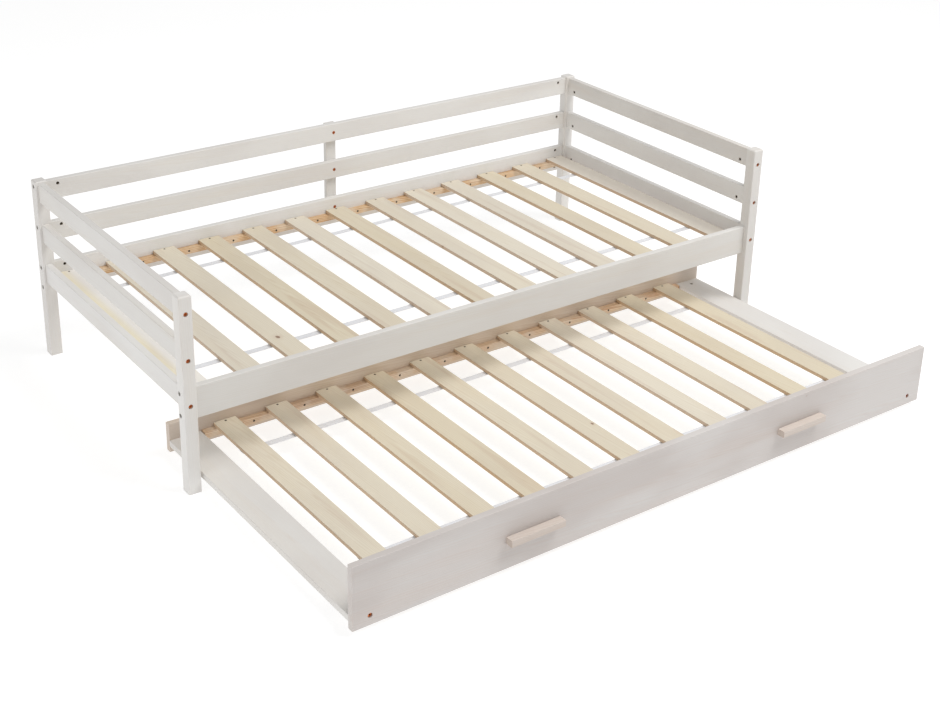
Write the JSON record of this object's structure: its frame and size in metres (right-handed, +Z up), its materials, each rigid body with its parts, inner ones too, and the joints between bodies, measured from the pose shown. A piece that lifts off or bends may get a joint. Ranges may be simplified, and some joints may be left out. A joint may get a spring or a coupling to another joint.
{
  "type": "trundle bed",
  "caption": "Pine daybed with slatted deck and three-sided guard rails, and a slatted trundle on casters that rolls out from under it",
  "frame": {"origin": "on the floor, at the middle of the footprint with the trundle pulled out as at rest", "axes": "+X along the bed's length, to the right seen from the front; +Y towards the bed's back; +Z up"},
  "size_m": [2.06, 1.7734, 0.574],
  "materials": {
    "whitewashed_pine": "thin white wash over pine, matt",
    "natural_pine": "planed bare pine",
    "thin_washed_pine": "thinly washed pine, matt",
    "handle_wood": "lightly washed wood, matt",
    "webbing": "woven flat tape",
    "bronzed_bolts": "bronzed steel heads",
    "zinc_steel": "zinc plated",
    "beech_dowels": "fluted beech",
    "wheel_nylon": "moulded nylon"
  },
  "bodies": {
    "daybed": {"post_front_left": "whitewashed_pine", "post_front_right": "whitewashed_pine", "post_rear_left": "whitewashed_pine", "post_rear_right": "whitewashed_pine", "left_lower_rail": "whitewashed_pine", "left_middle_rail": "whitewashed_pine", "left_top_rail": "whitewashed_pine", "right_lower_rail": "whitewashed_pine", "right_middle_rail": "whitewashed_pine", "right_top_rail": "whitewashed_pine", "back_lower_rail": "whitewashed_pine", "back_middle_rail": "whitewashed_pine", "back_top_rail": "whitewashed_pine", "front_rail": "whitewashed_pine", "back_batten": "whitewashed_pine", "daybed_ledgers": "natural_pine", "daybed_slat_1": "natural_pine", "daybed_slat_2": "natural_pine", "daybed_slat_3": "natural_pine", "daybed_slat_4": "natural_pine", "daybed_slat_5": "natural_pine", "daybed_slat_6": "natural_pine", "daybed_slat_7": "natural_pine", "daybed_slat_8": "natural_pine", "daybed_slat_9": "natural_pine", "daybed_slat_10": "natural_pine", "daybed_slat_11": "natural_pine", "daybed_slat_12": "natural_pine", "daybed_slat_13": "natural_pine", "daybed_webbing": "webbing", "daybed_bolts": "bronzed_bolts", "daybed_barrel_nuts": "zinc_steel", "daybed_dowels": "beech_dowels", "daybed_screws": "zinc_steel"},
    "trundle": {"trundle_front_panel": "whitewashed_pine", "trundle_left_board": "whitewashed_pine", "trundle_right_board": "whitewashed_pine", "trundle_rear_panel": "thin_washed_pine", "trundle_ledgers": "natural_pine", "trundle_slat_1": "natural_pine", "trundle_slat_2": "natural_pine", "trundle_slat_3": "natural_pine", "trundle_slat_4": "natural_pine", "trundle_slat_5": "natural_pine", "trundle_slat_6": "natural_pine", "trundle_slat_7": "natural_pine", "trundle_slat_8": "natural_pine", "trundle_slat_9": "natural_pine", "trundle_slat_10": "natural_pine", "trundle_slat_11": "natural_pine", "trundle_handles": "handle_wood", "trundle_webbing": "webbing", "trundle_bolts": "bronzed_bolts", "trundle_dowels": "beech_dowels", "trundle_fittings": "zinc_steel", "caster_forks": "zinc_steel"},
    "wheel_front_left": {"wheel_front_left": "wheel_nylon"},
    "wheel_front_right": {"wheel_front_right": "wheel_nylon"},
    "wheel_rear_left": {"wheel_rear_left": "wheel_nylon"},
    "wheel_rear_right": {"wheel_rear_right": "wheel_nylon"}
  },
  "joints": [
    {"name": "trundle_roll", "type": "slide", "parent": "daybed", "child": "trundle", "axis": [0, -1, 0], "range_m": [-0.745, 0.21]},
    {"name": "front_left_wheel_spin", "type": "hinge", "parent": "trundle", "child": "wheel_front_left", "pos_m": [-0.938, -0.74275, 0.0125], "axis": [1, 0, 0], "continuous": true},
    {"name": "front_right_wheel_spin", "type": "hinge", "parent": "trundle", "child": "wheel_front_right", "pos_m": [0.938, -0.74275, 0.0125], "axis": [1, 0, 0], "continuous": true},
    {"name": "rear_left_wheel_spin", "type": "hinge", "parent": "trundle", "child": "wheel_rear_left", "pos_m": [-0.938, -0.01175, 0.0125], "axis": [1, 0, 0], "continuous": true},
    {"name": "rear_right_wheel_spin", "type": "hinge", "parent": "trundle", "child": "wheel_rear_right", "pos_m": [0.938, -0.01175, 0.0125], "axis": [1, 0, 0], "continuous": true}
  ],
  "couplings": [
    {"joint": "front_left_wheel_spin", "follows": "trundle_roll", "rad_per_m": 80},
    {"joint": "front_right_wheel_spin", "follows": "trundle_roll", "rad_per_m": 80},
    {"joint": "rear_left_wheel_spin", "follows": "trundle_roll", "rad_per_m": 80},
    {"joint": "rear_right_wheel_spin", "follows": "trundle_roll", "rad_per_m": 80}
  ]
}
